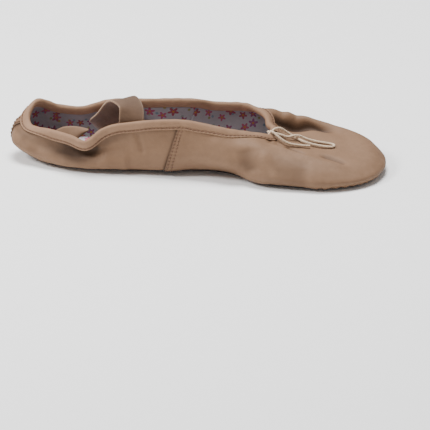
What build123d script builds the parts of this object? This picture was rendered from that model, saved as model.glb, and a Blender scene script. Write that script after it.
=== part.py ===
from build123d import *
import os
from math import ceil, cos, pi, radians, sin, tan

# Ballet slipper, lying empty on a floor: a soft leather upper on a full suede sole, a
# drawstring in a casing round the collar, and an elastic strap that is sewn in at both ends.
# Millimetres. +X is the toe, -Y the near side, +Y the far side, +Z up. The origin is the
# middle of the bounding box, at floor level.

# Thicknesses of the layers
LEATHER = 1.1
LINING = 0.5
LAYER_GAP = 0.1
OUTSOLE = 1.6
INSOLE_BOARD = 1.2
FOAM_PAD = 1.8
SOCK_LINING = 0.5
UPPER_STACK = LEATHER + LAYER_GAP + LINING

# The edge of the upper is turned in on top of the outsole, round the insole board
TURNED_IN = 3.0
FEATHER_HEIGHT = OUTSOLE + LAYER_GAP
BOARD_INSET = TURNED_IN + 2.4
PAD_INSET = TURNED_IN + 2.8

# Groove under the outsole, which the sole stitches lie in
GROOVE_INSET = 2.6
GROOVE_WIDTH = 1.0
GROOVE_DEPTH = 0.6

# Drawstring casing: a strip folded over the collar edge, with the drawstring in its fold
CASING = 0.6
CASING_GAP = 0.55
CASING_LEG = 4.6
CHANNEL_RADIUS = 1.3
CHANNEL_RISE = 1.7
FOLD_RISE = CHANNEL_RISE + CHANNEL_RADIUS + CASING
DRAWSTRING = 1.5
KNOT = (46.5, -3, 24.6)
KNOT_RADIUS = 1.7
KNOT_GAP = 0.1
BODY_GAP = 0.3
CASING_EXIT = 1.2

# Elastic strap
STRAP_WIDTH = 15.5
STRAP_THICKNESS = 1.0
STRAP_ROW_LENGTH = 12.0
STRAP_ROWS = (1.5, 5.0)

# Heel grip: a leather flap inside the near quarter, loose along its top edge
HEEL_GRIP_THICKNESS = 0.8

# Sewing
STITCH_PITCH = 2.6
STITCH_LENGTH = 1.9
STITCH_RADIUS = 0.2
STITCH_LIFT = 0.15
SEAM_ROWS = (0.12, 0.24)
BACK_SEAM_ROW = 0.16
CASING_ROW = 1.2
SEAM_ENDS = 3
SOLE_STITCH_PITCH = 4.0
SEAM_LEAN = 17.0

# Share of a cord's shorter run that the arc at a corner takes up, free and in the casing
FREE_ARC_SHARE = 0.45
HELD_ARC_SHARE = 0.18


def shifted(profile, depth):
    """The (outward, up) points of a wall, moved inwards by depth, mitred at each point."""
    points = [Vector(*point) for point in profile]
    runs = [(after - before).normalized() for before, after in zip(points, points[1:])]
    moved = []
    for point, before, after in zip(points, runs[:1] + runs, runs + runs[-1:]):
        mitre = (before + after) / (1 + before.dot(after))
        moved.append((point.X - depth * mitre.Y, point.Y + depth * mitre.X))
    return moved


class Station:
    """One upright cut through the wall of the shoe.

    foot is where the wall meets the sole, heading the outward direction in degrees from
    +X, and wall the outer face as (outward, up) points from the sole to the top of the
    casing; the leather ends inside the casing's fold. A seam leans towards the toe by lean
    degrees."""

    def __init__(self, foot, heading, *wall, lean=0.0):
        self.foot = Vector(*foot)
        self.outward = Vector(cos(radians(heading)), sin(radians(heading)))
        upward = Vector(sin(radians(lean)), 0, cos(radians(lean)))
        self.plane = Plane(self.foot, x_dir=self.outward, z_dir=self.outward.cross(upward))
        turned_in = [(-TURNED_IN, FEATHER_HEIGHT), (1, FEATHER_HEIGHT + 0.2)]
        self.wall = [(out, up / cos(radians(lean))) for out, up in turned_in + list(wall)]
        below, top = Vector(*self.wall[-2]), Vector(*self.wall[-1])
        edge = top - (top - below).normalized() * FOLD_RISE
        self.wall[-1] = (edge.X, edge.Y)
        self.face = Edge.make_spline([Vector(*point) for point in self.wall])

    def layer(self, outer, inner):
        """The section of a layer between two depths below the outer face."""
        outer_points = shifted(self.wall, outer)
        inner_points = shifted(self.wall, inner)
        with BuildSketch(self.plane, mode=Mode.PRIVATE) as section:
            with BuildLine():
                Spline(*outer_points)
                Line(outer_points[-1], inner_points[-1])
                Spline(*reversed(inner_points))
                Line(inner_points[0], outer_points[0])
            make_face()
        return section.sketch

    def on_wall(self, share):
        """A point of the outer face, a share of the way from the sole to the collar."""
        return self.plane.from_local_coords(self.face.position_at(share))

    def collar_plane(self):
        """A plane at the collar edge: x outwards from the wall, y on up along the wall."""
        low = self.face.position_at(1 - CASING_LEG / self.face.length)
        along = (Vector(*self.wall[-1]) - low).normalized()
        edge = self.plane.from_local_coords(Vector(*self.wall[-1]))
        away = self.plane.from_local_coords(Vector(along.Y, -along.X)) - self.foot
        return Plane(edge, x_dir=away, z_dir=self.plane.z_dir)

    def casing(self):
        """The section of the casing: two legs down the wall and a round fold on top."""
        legs = UPPER_STACK + 2 * CASING_GAP
        height = CASING_LEG + CHANNEL_RISE
        with BuildSketch(self.collar_plane(), mode=Mode.PRIVATE) as section:
            with Locations((-UPPER_STACK / 2, CHANNEL_RISE)):
                Circle(CHANNEL_RADIUS + CASING)
                Rectangle(legs + 2 * CASING, height, align=(Align.CENTER, Align.MAX))
                Circle(CHANNEL_RADIUS, mode=Mode.SUBTRACT)
                Rectangle(legs, height, align=(Align.CENTER, Align.MAX), mode=Mode.SUBTRACT)
        return section.sketch

    def channel(self):
        """The middle of the drawstring's channel."""
        return self.collar_plane().from_local_coords(Vector(-UPPER_STACK / 2, CHANNEL_RISE))

    def casing_row(self):
        """Where the stitch row of the casing crosses this station, on its outer leg."""
        row = Vector(CASING_GAP + CASING, CASING_ROW - CASING_LEG)
        return self.collar_plane().from_local_coords(row)


# The wall of the shoe, from the middle of the heel along the near side, round the toe and
# back along the far side. The back seam and the two side seams are stations too.
BACK_SEAM = Station((-103, -2), 180, (9, 5), (16.7, 12.5), (13, 19), (3, 22.5))
NEAR_SEAM = Station(
    (-14, -13.5), 270, (12, 6.5), (12.8, 14), (10.9, 27), (8.5, 38.3), lean=SEAM_LEAN
)
FAR_SEAM = Station(
    (-14, 15), 90, (8, 6), (10.5, 14), (10.5, 25), (8.6, 35.4), lean=SEAM_LEAN
)
NEAR_QUARTER = [
    Station((-102, -6), 196, (8.6, 5), (15.8, 12.4), (11.5, 19), (2, 22.8)),
    Station((-99, -9), 212, (8, 5), (14, 12), (9, 18.5), (0.5, 23.4)),
    Station((-91, -14.5), 240, (7, 4.5), (10, 10.5), (6.5, 17.5), (1, 24.8)),
    Station((-78, -18), 264, (8, 5.2), (6.5, 11), (4.5, 18), (4.5, 24.8)),
    Station((-67, -18.5), 270, (8.5, 5.5), (7, 11), (6, 17), (8, 22.8)),
    Station((-56, -18), 270, (9, 5.5), (9, 12.5), (7.5, 22), (7, 31)),
    Station((-38, -16.5), 270, (9.8, 6), (10, 13), (8, 25), (7, 35.5)),
]
NEAR_VAMP = [
    Station((5, -11), 270, (12.5, 6.8), (17, 13), (15.3, 26), (11, 37)),
    Station((22, -14), 270, (11, 7.2), (17, 13), (14, 23.5), (5.5, 33.2)),
    Station((42, -27), 280, (8, 3), (10.4, 6.5), (8.5, 13), (0, 24), (-17, 27.5)),
    Station(
        (60, -31), 301, (7.5, 2.5), (10.3, 5.5), (6, 13), (-9, 20.8), (-18, 20.6), (-28.5, 25.2)
    ),
    Station(
        (82, -31), 323.6, (7.5, 2.3), (10.3, 5.2), (5.5, 10.5), (-9, 16.6), (-30, 18.4), (-44.2, 25)
    ),
    Station(
        (100, -22), 340.9, (7.5, 2.2), (10.2, 5), (5.5, 8.8), (-16, 13.8), (-42, 18.2), (-56.3, 25)
    ),
    Station(
        (107, -13), 350.4, (7, 2.2), (9.8, 5.1), (5, 9), (-17, 13.8), (-46, 18.2), (-61, 25)
    ),
]
TOE_TIP = Station(
    (110.3, -2), 0, (6.5, 2.3), (9.3, 5.4), (5, 9.3), (-18, 14), (-48, 18.2), (-63.4, 25)
)
FAR_VAMP = [
    Station(
        (109, 8), 8.5, (6.5, 2.5), (9.3, 5.8), (5.5, 10.2), (-17, 14.8), (-47, 18.2), (-62.9, 25)
    ),
    Station(
        (104, 17), 16.5, (7, 3), (9.6, 7), (6, 12.5), (-14, 15.6), (-44, 18.2), (-59.9, 25.1)
    ),
    Station(
        (84, 29.9), 32, (7.5, 3.5), (10, 8.5), (7, 15.2), (-5, 17.6), (-30, 17.8), (-45.3, 25.5)
    ),
    Station(
        (62, 31), 47.9, (7.5, 4), (10, 10), (7.5, 17.5), (1, 19.6), (-14, 18.8), (-28.3, 26)
    ),
    Station((44, 28), 56, (9.5, 6), (11.5, 15), (5, 25), (-9.5, 27.4)),
    Station((27, 22), 78, (10, 6.5), (12.8, 14), (12.3, 22.5), (7.5, 29.3)),
    Station((6, 17), 90, (8.5, 6), (11.2, 13), (12.2, 24), (10.5, 32.6)),
]
FAR_QUARTER = [
    Station((-38, 16), 90, (8, 6), (9, 14), (8, 24), (6, 34.3)),
    Station((-60, 18), 90, (8, 6), (8.5, 14), (6.5, 24), (4, 32.8)),
    Station((-78, 19), 95, (7.4, 6), (8, 12.5), (5.5, 20), (2.5, 27.2)),
    Station((-91, 15.5), 116, (7.5, 5.5), (9.5, 13), (8, 21), (4.3, 28.6)),
    Station((-99, 7.5), 146, (8, 5), (14, 12.5), (13, 23), (7, 33)),
    Station((-102, 3), 163, (8.6, 5), (16, 12.5), (14, 20), (5.5, 28)),
]

QUARTERS = {
    "near": [BACK_SEAM, *NEAR_QUARTER, NEAR_SEAM],
    "far": [FAR_SEAM, *FAR_QUARTER, BACK_SEAM],
}
VAMP = [NEAR_SEAM, *NEAR_VAMP, TOE_TIP, *FAR_VAMP, FAR_SEAM]
ROUND_THE_SHOE = [BACK_SEAM, *NEAR_QUARTER, *VAMP, *FAR_QUARTER]

# The casing starts and ends at the throat, where the drawstring comes out
THROAT_START = 3
THROAT_END = 1
CASING_STATIONS = [
    *reversed(NEAR_VAMP[: THROAT_START + 1]),
    NEAR_SEAM,
    *reversed(NEAR_QUARTER),
    BACK_SEAM,
    *reversed(FAR_QUARTER),
    FAR_SEAM,
    *reversed(FAR_VAMP[THROAT_END:]),
]


def wall_layer(stations, outer, inner):
    """A layer of the upper, lofted through its stations."""
    with BuildPart() as layer:
        loft(sections=[station.layer(outer, inner) for station in stations], ruled=True)
    return layer


def outline(inset):
    """The outline of a sole piece, inset from the line where the wall meets the sole."""
    return [station.foot - station.outward * inset for station in ROUND_THE_SHOE]


def outline_face(inset, mode=Mode.ADD):
    """The flat face inside the outline of a sole piece."""
    with BuildLine() as edge:
        Spline(*outline(inset), periodic=True)
    make_face(edge.edges(), mode=mode)


def sole_piece(inset, bottom, thickness):
    """A flat piece of the sole with the outline of the shoe."""
    with BuildPart() as piece:
        with BuildSketch(Plane.XY.offset(bottom)):
            outline_face(inset)
        extrude(amount=thickness)
    return piece


def grooved_outsole():
    """The suede outsole, with a stitch groove round its underside."""
    with BuildPart() as outsole:
        with BuildSketch():
            outline_face(0)
        extrude(amount=OUTSOLE)
        with BuildSketch():
            outline_face(GROOVE_INSET - GROOVE_WIDTH / 2)
            outline_face(GROOVE_INSET + GROOVE_WIDTH / 2, Mode.SUBTRACT)
        extrude(amount=GROOVE_DEPTH, mode=Mode.SUBTRACT)
    return outsole


def stitches(places):
    """A row of short threads; each place is a middle point, a direction and a normal."""
    lift = STITCH_RADIUS + STITCH_LIFT
    planes = [Plane(middle + normal * lift, z_dir=along) for middle, along, normal in places]
    with BuildPart() as row:
        with Locations(*planes):
            Cylinder(STITCH_RADIUS, STITCH_LENGTH)
    return row


def along_runs(points, normals, pitch):
    """Places for stitches at an even pitch along the straight runs between points."""
    places = []
    for index, (start, end) in enumerate(zip(points, points[1:])):
        run = end - start
        count = max(1, round(run.length / pitch))
        normal = (normals[index] + normals[index + 1]).normalized()
        for step in range(count):
            places.append((start + run * ((step + 0.5) / count), run.normalized(), normal))
    return places


def seam_row(seam, beside, share):
    """Places for a row of stitches up a seam, a share of the way to the next station."""
    count = ceil(seam.face.length / STITCH_PITCH)
    places = []
    for step in range(SEAM_ENDS, count - SEAM_ENDS):
        low = seam.on_wall(step / count) * (1 - share) + beside.on_wall(step / count) * share
        next_step = (step + 1) / count
        high = seam.on_wall(next_step) * (1 - share) + beside.on_wall(next_step) * share
        along = (high - low).normalized()
        across = (beside.on_wall(step / count) - seam.on_wall(step / count)).normalized()
        normal = across.cross(along).normalized()
        if normal.dot(seam.outward) < 0:
            normal = -normal
        places.append(((low + high) / 2, along, normal))
    return places


os.makedirs("parts", exist_ok=True)


def save(piece, name):
    """Label a finished piece and write it."""
    piece.part.label = name
    export_step(piece.part, f"parts/{name}.step")


# Upper: three leather pieces, and a lining piece behind each
wall_pieces = {"vamp": VAMP, "near_quarter": QUARTERS["near"], "far_quarter": QUARTERS["far"]}
for name, stations in wall_pieces.items():
    save(wall_layer(stations, 0, LEATHER), name)
    save(wall_layer(stations, LEATHER + LAYER_GAP, UPPER_STACK), f"{name}_lining")

# Drawstring casing
with BuildPart() as casing:
    loft(sections=[station.casing() for station in CASING_STATIONS], ruled=True)
save(casing, "drawstring_casing")

# Sole
save(grooved_outsole(), "outsole")
save(sole_piece(BOARD_INSET, OUTSOLE, INSOLE_BOARD), "insole_board")
pad_bottom = OUTSOLE + INSOLE_BOARD
save(sole_piece(PAD_INSET, pad_bottom, FOAM_PAD), "foam_pad")
save(sole_piece(PAD_INSET, pad_bottom + FOAM_PAD, SOCK_LINING), "sock_lining")


def corner_radii(points, share):
    """The radius at each corner of a cord's route, from the share of the run that it takes."""
    radii = []
    for before, corner, after in zip(points, points[1:], points[2:]):
        first, second = Vector(*corner) - Vector(*before), Vector(*after) - Vector(*corner)
        half_turn = radians(first.get_angle(second)) / 2
        radii.append(share * min(first.length, second.length) / tan(half_turn))
    return radii


def save_cord(points, share, name):
    """Write a round cord along straight runs joined by tangent arcs, and print its measures."""
    with BuildPart() as piece:
        with BuildLine() as route:
            FilletPolyline(*points, radius=corner_radii(points, share))
        path = route.wires()[0]
        with BuildSketch(Plane(path @ 0, z_dir=path % 0)):
            Circle(DRAWSTRING / 2)
        sweep(path=path)
    volume_share = piece.part.volume / (pi * (DRAWSTRING / 2) ** 2 * path.length)
    print(name, f"length {path.length:.1f}, volume share {volume_share:.3f}")
    save(piece, name)


def beside_knot(towards, gap):
    """The point where a cord that heads for the knot meets its surface."""
    away = (Vector(*towards) - Vector(*KNOT)).normalized()
    return Vector(*KNOT) + away * (KNOT_RADIUS + gap)


# Drawstring: held in the casing all the way round, then a knot at the throat, and past the
# knot a loop and a short end that lie on the vamp
channel = [station.channel() for station in CASING_STATIONS]
channel[0] += (channel[0] - channel[1]).normalized() * CASING_EXIT
channel[-1] += (channel[-1] - channel[-2]).normalized() * CASING_EXIT
ring = [beside_knot(channel[0], KNOT_GAP), *channel, beside_knot(channel[-1], KNOT_GAP)]
save_cord(ring, HELD_ARC_SHARE, "drawstring")

with BuildPart() as knot:
    with Locations(KNOT):
        Sphere(KNOT_RADIUS)
save(knot, "drawstring_knot")

LOOP_ROUTE = [
    (51.0, -0.3, 28.3),
    (56.6, 3.2, 23.0),
    (62.5, 2.8, 19.6),
    (68, -0.6, 18.5),
    (76.5, -1.8, 17.1),
    (83.5, -1.8, 16.4),
    (86.6, -0.5, 16.2),
    (86.9, 2.4, 16.4),
    (83.8, 3.8, 16.6),
    (75.5, 3.8, 17.4),
    (68.5, 4.4, 18.8),
    (64.6, 3.2, 21.2),
    (61.0, 0.6, 22.2),
    (57.5, -2.6, 21.8),
    (52.5, -3.0, 24.2),
]
TAIL_ROUTE = [
    (48.1, -6.9, 27.7),
    (53.2, -9.4, 24.0),
    (58.4, -9.6, 20.6),
    (63, -7.8, 19.2),
    (67.8, -6.0, 18.2),
    (72, -4.8, 17.7),
]
loop_route = [
    beside_knot(LOOP_ROUTE[0], BODY_GAP),
    *LOOP_ROUTE,
    beside_knot(LOOP_ROUTE[-1], BODY_GAP),
]
tail_route = [beside_knot(TAIL_ROUTE[0], BODY_GAP), *TAIL_ROUTE]
save_cord(loop_route, FREE_ARC_SHARE, "drawstring_loop")
save_cord(tail_route, FREE_ARC_SHARE, "drawstring_tail")


# Elastic strap: from the near casing up over the opening, down towards the heel and back
# up to the far casing. Each place is a middle point and the direction of the width.
STRAP = [
    ((-39.5, -19.5, 26), (1, 0, 0)),
    ((-39.5, -19.5, 36.5), (1, 0, 0)),
    ((-39.4, -17.9, 40.3), (0.93, 0.35, -0.02)),
    ((-41, -13.8, 43.8), (0.84, 0.54, 0.03)),
    ((-46.1, -9, 45.4), (0.84, 0.53, 0.1)),
    ((-52.2, -3.7, 37.8), (0.83, 0.43, -0.36)),
    ((-55.8, -0.9, 31), (0.87, 0.28, -0.39)),
    ((-59.8, 2.8, 24.9), (0.85, 0.23, -0.47)),
    ((-63.5, 5.5, 20.5), (0.82, 0.06, -0.54)),
    ((-65, 7.9, 17), (0.72, -0.22, -0.64)),
    ((-64.8, 10.9, 14), (0.64, -0.36, -0.68)),
    ((-62.9, 13.9, 12.9), (0.6, -0.38, -0.7)),
    ((-59.6, 16.9, 13.6), (0.6, -0.25, -0.76)),
    ((-55.5, 18.2, 16.5), (0.6, 0, -0.8)),
    ((-49.5, 18.2, 21), (0.6, 0, -0.8)),
    ((-41.5, 18.2, 27), (0.6, 0, -0.8)),
]


def strap_planes():
    """A plane across the strap at each of its places."""
    middles = [Vector(*middle) for middle, _ in STRAP]
    planes = []
    for index, (_, width) in enumerate(STRAP):
        before = middles[max(index - 1, 0)]
        after = middles[min(index + 1, len(STRAP) - 1)]
        along = (after - before).normalized()
        across = Vector(*width) - along * Vector(*width).dot(along)
        planes.append(Plane(middles[index], x_dir=across, z_dir=along))
    return planes


with BuildPart() as strap:
    for plane in strap_planes():
        with BuildSketch(plane):
            Rectangle(STRAP_WIDTH, STRAP_THICKNESS)
    loft(ruled=True)
save(strap, "elastic_strap")

for name, plane, inward in (
    ("strap_near_stitches", strap_planes()[0], 1),
    ("strap_far_stitches", strap_planes()[-1].rotated((0, 180, 0)), -1),
):
    normal = plane.y_dir * inward
    places = []
    for row in STRAP_ROWS:
        start = plane.origin + plane.z_dir * row + normal * STRAP_THICKNESS / 2
        half = plane.x_dir * STRAP_ROW_LENGTH / 2
        places += along_runs([start - half, start + half], [normal, normal], STITCH_PITCH)
    save(stitches(places), name)


# Heel grip: the length along X, and the lower and upper edge as (across, up)
HEEL_GRIP = [
    (-89, (-15.5, 15), (-12.5, 23)),
    (-85, (-17.5, 13), (-12, 25)),
    (-79, (-18.5, 14), (-11.5, 25.8)),
    (-73, (-15.5, 20.5), (-11.8, 25.6)),
    (-68, (-13, 23.6), (-12.3, 24.8)),
]
with BuildPart() as heel_grip:
    for along, lower, upper in HEEL_GRIP:
        low, high = Vector(along, *lower), Vector(along, *upper)
        with BuildSketch(Plane((low + high) / 2, x_dir=high - low, z_dir=(1, 0, 0))):
            Rectangle((high - low).length, HEEL_GRIP_THICKNESS)
    loft(ruled=True)
save(heel_grip, "heel_grip")


# Seam stitches, two rows beside each seam
for name, seam, beside in (
    ("near_side_stitches", NEAR_SEAM, NEAR_VAMP[0]),
    ("far_side_stitches", FAR_SEAM, FAR_VAMP[-1]),
):
    rows = [place for share in SEAM_ROWS for place in seam_row(seam, beside, share)]
    save(stitches(rows), name)
back_rows = seam_row(BACK_SEAM, NEAR_QUARTER[0], BACK_SEAM_ROW)
back_rows += seam_row(BACK_SEAM, FAR_QUARTER[-1], BACK_SEAM_ROW)
save(stitches(back_rows), "back_seam_stitches")

row_points = [station.casing_row() for station in CASING_STATIONS]
row_normals = [station.collar_plane().x_dir for station in CASING_STATIONS]
save(stitches(along_runs(row_points, row_normals, STITCH_PITCH)), "casing_stitches")

groove = Edge.make_spline(outline(GROOVE_INSET), periodic=True)
count = round(groove.length / SOLE_STITCH_PITCH)
up = Vector(0, 0, GROOVE_DEPTH)
down = Vector(0, 0, -1)
shares = [step / count for step in range(count)]
places = [(groove @ share + up, groove % share, down) for share in shares]
save(stitches(places), "sole_stitches")
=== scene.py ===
"""The looks of a soft leather ballet slipper that lies empty on a floor.

The leather upper, its printed cotton lining and the drawstring casing are surfaces through
upright cuts of the wall. The cuts of the near vamp, the toe, the far seam and most of the far
quarter are the CAD part's. The others are up to about 5.5 mm away from it, with one more in the
far vamp, where the empty leather sinks or folds. Folds, gathers and grain are added along the
surface's own normals. Shapes are worked out in millimetres, and are scaled to metres when their
mesh is made. +X is the toe, -Y the near side, +Y the far side, +Z up.
"""

from math import cos, pi, radians, sin

import bpy
import numpy as np
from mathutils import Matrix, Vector, noise

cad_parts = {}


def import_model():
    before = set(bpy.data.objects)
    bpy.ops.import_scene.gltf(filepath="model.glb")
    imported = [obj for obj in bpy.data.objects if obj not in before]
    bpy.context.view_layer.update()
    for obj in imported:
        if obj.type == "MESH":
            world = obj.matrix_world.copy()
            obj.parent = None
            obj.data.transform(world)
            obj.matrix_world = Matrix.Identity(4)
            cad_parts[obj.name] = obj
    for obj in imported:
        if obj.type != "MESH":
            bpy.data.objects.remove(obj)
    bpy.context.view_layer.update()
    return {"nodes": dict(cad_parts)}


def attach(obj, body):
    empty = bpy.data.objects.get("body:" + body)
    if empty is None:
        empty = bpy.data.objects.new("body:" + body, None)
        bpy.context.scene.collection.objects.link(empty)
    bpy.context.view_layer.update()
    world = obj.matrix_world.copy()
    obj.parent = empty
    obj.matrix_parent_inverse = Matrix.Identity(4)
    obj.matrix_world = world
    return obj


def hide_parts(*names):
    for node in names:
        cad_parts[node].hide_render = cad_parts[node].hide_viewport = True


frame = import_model()

MM = 0.001

# Layers, sizes and places, as in the CAD part
LEATHER = 1.1
LINING = 0.5
LAYER_GAP = 0.1
LINING_DEPTH = LEATHER + LAYER_GAP
TURNED_IN = 3.0
FEATHER_HEIGHT = 1.7
FOLD_RISE = 3.6
DRAWSTRING = 1.5
KNOT = np.array([46.5, -3.0, 24.6])
SEAM_LEAN = 17
HEEL_GRIP_THICKNESS = 0.8
STRAP_WIDTH = 15.5
STRAP_THICKNESS = 1.0

# Layers a little thinner than the CAD part's, which are 0.6 and 1.8
CASING = 0.55
FOAM_PAD = 1.7

# The wall's grid: the pitch of its columns, its evenly spaced rows near the sole, and the rows
# above them, which are about HIGH_ROW_PITCH apart
COLUMN_PITCH = 0.85 * 1.35
LOW_ROWS = 18
LOW_ROW_PITCH = 0.7
HIGH_ROWS = 72
HIGH_ROW_PITCH = 0.55
RING_SOFTENING = 6

# Cuts repeated at both ends of the ring, so that curves through them close smoothly
REPEATED = 3

# Sewing
STITCH_PITCH = 2.6
STITCH_LENGTH = 2.0
THREAD_RADIUS = 0.27
SIDE_LAP = 0.7
BACK_LAP = 0.6
NEEDLE_HOLE_COLUMNS = (2, 5)


# ---- smooth curves and grids


def smooth(knots, values, at):
    """Values at the places in at, on a smooth curve through values at knots."""
    knots = np.asarray(knots, float)
    values = np.asarray(values, float)
    slopes = np.gradient(values, knots, axis=0)
    span = np.clip(np.searchsorted(knots, at, side="right") - 1, 0, len(knots) - 2)
    width = knots[span + 1] - knots[span]
    share = (at - knots[span]) / width
    shape = (-1,) + (1,) * (values.ndim - 1)
    t = share.reshape(shape)
    w = width.reshape(shape)
    start = (1 + 2 * t) * (1 - t) ** 2 * values[span]
    end = t**2 * (3 - 2 * t) * values[span + 1]
    leaving = t * (1 - t) ** 2 * w * slopes[span]
    arriving = t**2 * (t - 1) * w * slopes[span + 1]
    return start + end + leaving + arriving


def lengths_along(points):
    """The length along a line of points, at each of them."""
    steps = np.linalg.norm(np.diff(points, axis=0), axis=1)
    return np.concatenate([[0.0], np.cumsum(steps)])


def finely(points, count=400):
    """Many points on a smooth curve through a few."""
    points = np.asarray(points, float)
    chords = lengths_along(points)
    return smooth(chords, points, np.linspace(0, chords[-1], count))


def read_off(values, lengths, spots):
    """Values given at lengths along a line, read off at other lengths."""
    return np.stack([np.interp(spots, lengths, values[:, k]) for k in range(values.shape[1])], 1)


def at_lengths(line, spots):
    """The points at these lengths along a fine line."""
    return read_off(line, lengths_along(line), spots)


def unit(vectors):
    """Vectors scaled to length 1, along the last axis."""
    return vectors / np.maximum(np.linalg.norm(vectors, axis=-1, keepdims=True), 1e-9)


def smoothstep(low, high, value):
    """0 below low, 1 above high, and smooth between them."""
    t = np.clip((value - low) / (high - low), 0, 1)
    return t * t * (3 - 2 * t)


def grid_normals(grid):
    """Unit normals of a grid of points, pointing along (next column) x (next row)."""
    along = np.gradient(grid, axis=0)
    up = np.gradient(grid, axis=1)
    return unit(np.cross(along, up))


def softened(grid, passes, closed=False):
    """The grid with each point moved towards its neighbours along the columns."""
    grid = grid.copy()
    for _ in range(passes):
        if closed:
            before, after = np.roll(grid, 1, axis=0), np.roll(grid, -1, axis=0)
            grid = 0.5 * grid + 0.25 * (before + after)
        else:
            middle = 0.5 * grid[1:-1] + 0.25 * (grid[:-2] + grid[2:])
            grid[1:-1] = middle
    return grid


def ripple(points, scale, seed=0.0):
    """Smooth noise from -1 to 1 at each point; scale is the size of its waves in mm."""
    flat = points.reshape(-1, 3) / scale + seed
    values = [noise.noise(Vector(p)) for p in flat]
    return np.array(values).reshape(points.shape[:-1])


# ---- the wall of the slipper


class Station:
    """One upright cut: foot on the sole, heading outwards in degrees from +X, and the outer
    face as (outward, up) points from the sole to the top of the casing."""

    def __init__(self, foot, heading, *wall, lean=0.0):
        self.foot = np.array([*foot, 0.0])
        self.outward = np.array([cos(radians(heading)), sin(radians(heading)), 0.0])
        self.upward = np.array([sin(radians(lean)), 0.0, cos(radians(lean))])
        turned_in = [(-TURNED_IN, FEATHER_HEIGHT), (1, FEATHER_HEIGHT + 0.2)]
        self.wall = [(out, up / cos(radians(lean))) for out, up in turned_in + list(wall)]
        below, top = np.array(self.wall[-2]), np.array(self.wall[-1])
        self.wall[-1] = tuple(top - unit(top - below) * FOLD_RISE)

    def rows(self):
        """The points of the wall: evenly spaced near the sole, then shares of the rest."""
        line = finely(self.wall)
        length = lengths_along(line)[-1]
        low = np.arange(LOW_ROWS) * LOW_ROW_PITCH
        high = np.linspace(LOW_ROWS * LOW_ROW_PITCH, length, HIGH_ROWS)
        flat = at_lengths(line, np.concatenate([low, high]))
        return self.foot + flat[:, :1] * self.outward + flat[:, 1:] * self.upward


BACK_SEAM = Station((-103, -2), 180, (9, 5), (16.7, 12.5), (14.5, 20), (4.5, 24.5))
NEAR_SEAM = Station((-19.5, -14), 270, (12, 6.5), (12.8, 14), (10.9, 27), (8.5, 38.3), lean=SEAM_LEAN)
FAR_SEAM = Station((-14, 15), 90, (8, 6), (10.5, 14), (10.5, 25), (8.6, 35.4), lean=SEAM_LEAN)
NEAR_QUARTER = [
    Station((-102, -6), 196, (8.6, 5), (15.8, 12.4), (11.5, 19), (2, 22.8)),
    Station((-99, -9), 212, (8, 5), (13, 11), (8.5, 18), (0.5, 23.4)),
    Station((-91, -14.5), 240, (7.2, 4.5), (8.2, 9), (3.8, 15.5), (1, 24.8)),
    Station((-78, -18), 264, (8.4, 5), (5.5, 10), (2.8, 15), (5.5, 19), (5.5, 24.6)),
    Station((-67, -18.5), 270, (9, 5), (6.2, 10), (4.6, 14), (9.5, 18.5), (9.2, 22.8)),
    Station((-56, -18), 270, (9.6, 5.5), (8.6, 11), (5.6, 16.5), (6.6, 23.5), (7, 31)),
    Station((-38, -16.5), 270, (10, 5.6), (10.4, 12), (8, 19.5), (7.2, 27), (7, 35.5)),
]
NEAR_VAMP = [
    Station((5, -11), 270, (12.5, 6.8), (17, 13), (15.3, 26), (11, 37)),
    Station((22, -14), 270, (11, 7.2), (17, 13), (14, 23.5), (5.5, 33.2)),
    Station((42, -27), 280, (8, 3), (10.4, 6.5), (8.5, 13), (0, 24), (-17, 27.5)),
    Station((60, -31), 301, (7.5, 2.5), (10.3, 5.5), (6, 13), (-9, 20.8), (-18, 20.6), (-28.5, 25.2)),
    Station((82, -31), 323.6, (7.5, 2.3), (10.3, 5.2), (5.5, 10.5), (-9, 16.6), (-30, 18.4), (-44.2, 25)),
    Station((100, -22), 340.9, (7.5, 2.2), (10.2, 5), (5.5, 8.8), (-16, 13.8), (-42, 18.2), (-56.3, 25)),
    Station((107, -13), 350.4, (7, 2.2), (9.8, 5.1), (5, 9), (-17, 13.8), (-46, 18.2), (-61, 25)),
]
TOE_TIP = Station((110.3, -2), 0, (6.5, 2.3), (9.3, 5.4), (5, 9.3), (-18, 14), (-48, 18.2), (-63.4, 25))
FAR_VAMP = [
    Station((109, 8), 8.5, (6.5, 2.5), (9.3, 5.8), (5.5, 10.2), (-17, 14.8), (-47, 18.2), (-62.9, 25)),
    Station((104, 17), 16.5, (7, 3), (9.6, 7), (6, 12.2), (-14, 15.4), (-44, 18.2), (-59.9, 25.1)),
    Station(
        (84, 29.9), 32,
        (7.5, 3.5), (10, 8.5), (8.2, 13.8), (3.5, 17), (-3.5, 16), (-14, 16.8), (-30, 17.8), (-45.3, 25.5),
    ),
    Station((62, 31), 47.9, (7.5, 4), (10, 10), (8.2, 17), (2, 22), (-4.5, 17), (-14, 17.6), (-28.3, 26)),
    Station((53, 30), 52, (8.5, 5), (10.8, 13), (7.6, 20.5), (3, 24), (-3, 21.8), (-18.4, 27)),
    Station((44, 28), 56, (9.5, 6), (11.5, 15), (5, 26.2), (-9.5, 28)),
    Station((27, 22), 78, (10, 6.5), (12.8, 14), (12.3, 24), (7.5, 31.4)),
    Station((6, 17), 90, (8.5, 6), (11.2, 13), (12.2, 24), (10.5, 32.6)),
]
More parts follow.
